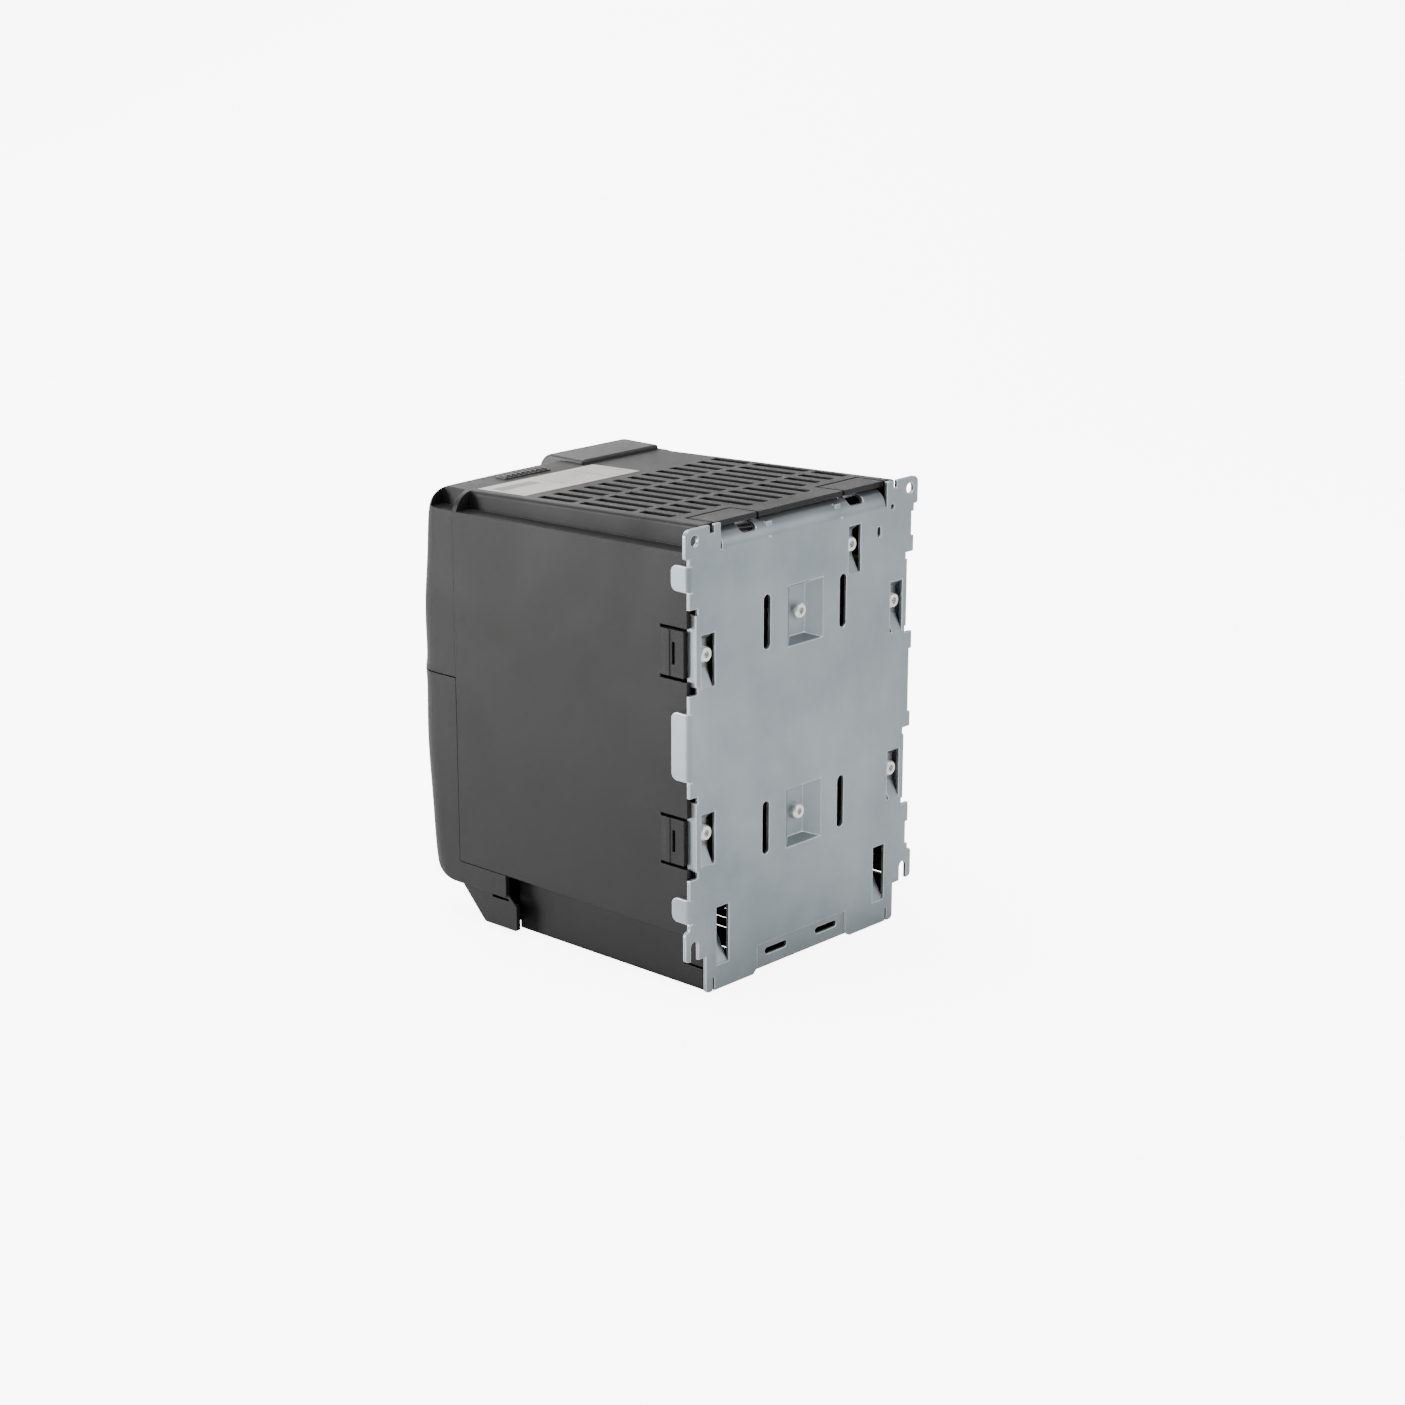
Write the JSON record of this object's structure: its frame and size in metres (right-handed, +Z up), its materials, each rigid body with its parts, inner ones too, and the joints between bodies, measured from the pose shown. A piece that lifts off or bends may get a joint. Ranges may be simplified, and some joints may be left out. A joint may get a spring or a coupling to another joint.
{
  "type": "wall-mounted inverter drive",
  "caption": "Wall-mounted inverter drive with a sheet-metal back plate, clipped plastic housing, ventilated top and front covers.",
  "frame": {"origin": "middle of the four mounting points, on the back plate's rear face", "axes": "+Z up, +Y towards the wall (outward normal of the rear face), +X to the right seen from the front"},
  "size_m": [0.149, 0.172, 0.202],
  "materials": {
    "zinc_sheet": "galvanised sheet with a cloudy zinc surface",
    "zinc_screw": "zinc plated",
    "dark_plastic": "fine spark-eroded texture",
    "panel_plastic": "fine texture",
    "latch_plastic": "satin",
    "label_foil": "blank silver-grey foil",
    "window": "clear",
    "display": "black display glass and board",
    "keypad": "embossed foil",
    "aluminium_fins": "extruded",
    "baffle_plastic": "black",
    "module_plastic": "moulded epoxy",
    "brass": "nickel-free turned brass",
    "green_board": "solder-masked laminate",
    "can_sleeve": "black sleeve on an aluminium can",
    "ferrite": "ferrite",
    "copper_wire": "enamelled copper",
    "yellow_box": "film capacitor case",
    "relay_case": "relay case",
    "bobbin_tape": "yellow tape",
    "terminal_plastic": "glass-filled nylon",
    "connector_plastic": "black nylon",
    "control_terminal_plastic": "green nylon",
    "chip_epoxy": "chip epoxy",
    "slider_white": "white",
    "switch_red": "red",
    "fan_plastic": "black glass-filled plastic",
    "spring_steel": "spring wire"
  },
  "bodies": {
    "drive": {"back_plate": "zinc_sheet", "plate_screws": "zinc_screw", "housing": "dark_plastic", "upper_front_cover": "dark_plastic", "rating_label": "label_foil", "latch_springs": "spring_steel", "heatsink": "aluminium_fins", "air_baffle": "baffle_plastic", "igbt_module": "module_plastic", "rectifier_module": "module_plastic", "module_screws": "zinc_screw", "board_standoffs": "brass", "power_board": "green_board", "power_board_screws": "zinc_screw", "dc_link_capacitors": "can_sleeve", "choke_base": "baffle_plastic", "choke_core": "ferrite", "choke_winding": "copper_wire", "film_capacitors": "yellow_box", "relays": "relay_case", "transformer_core": "ferrite", "transformer_bobbin": "bobbin_tape", "power_terminal_block": "terminal_plastic", "terminal_clamps": "zinc_screw", "terminal_screws": "zinc_screw", "emc_clip": "brass", "emc_screw": "zinc_screw", "link_sockets": "connector_plastic", "link_card": "green_board", "electronics_carrier": "baffle_plastic", "carrier_screws": "zinc_screw", "control_board": "green_board", "control_board_screws": "zinc_screw", "control_chips": "chip_epoxy", "control_terminals": "control_terminal_plastic", "control_terminal_screws": "zinc_screw", "dip_switch_body": "switch_red", "panel_socket": "connector_plastic", "fan_duct": "fan_plastic", "fan_frame": "fan_plastic", "fan_guard": "zinc_screw", "fan_screws": "zinc_screw"},
    "fan_rotor": {"fan_impeller": "fan_plastic"},
    "lower_cover": {"terminal_cover": "dark_plastic"},
    "operator_panel": {"display_panel_body": "panel_plastic", "display_window": "window", "display_module": "display", "membrane_keypad": "keypad"},
    "latch": {"panel_latch": "latch_plastic"},
    "setting_1": {"dip_slider_1": "slider_white"},
    "setting_2": {"dip_slider_2": "slider_white"}
  },
  "joints": [
    {"name": "fan_spin", "type": "hinge", "parent": "drive", "child": "fan_rotor", "pos_m": [0, -0.043, 0.06], "axis": [0, 0, 1], "continuous": true},
    {"name": "lower_cover_pull", "type": "slide", "parent": "drive", "child": "lower_cover", "axis": [0, -1, 0], "range_m": [0, 0.04]},
    {"name": "operator_panel_pull", "type": "slide", "parent": "drive", "child": "operator_panel", "axis": [0, -1, 0], "range_m": [0, 0.025]},
    {"name": "latch_press", "type": "slide", "parent": "drive", "child": "latch", "axis": [0, 0, -1], "range_m": [0, 0.0015], "stiffness_N_per_m": 400, "springref_m": -0.001, "deforming": ["latch_springs"]},
    {"name": "setting_1_slide", "type": "slide", "parent": "drive", "child": "setting_1", "axis": [0, 0, 1], "range_m": [0, 0.002]},
    {"name": "setting_2_slide", "type": "slide", "parent": "drive", "child": "setting_2", "axis": [0, 0, 1], "range_m": [0, 0.002]}
  ]
}
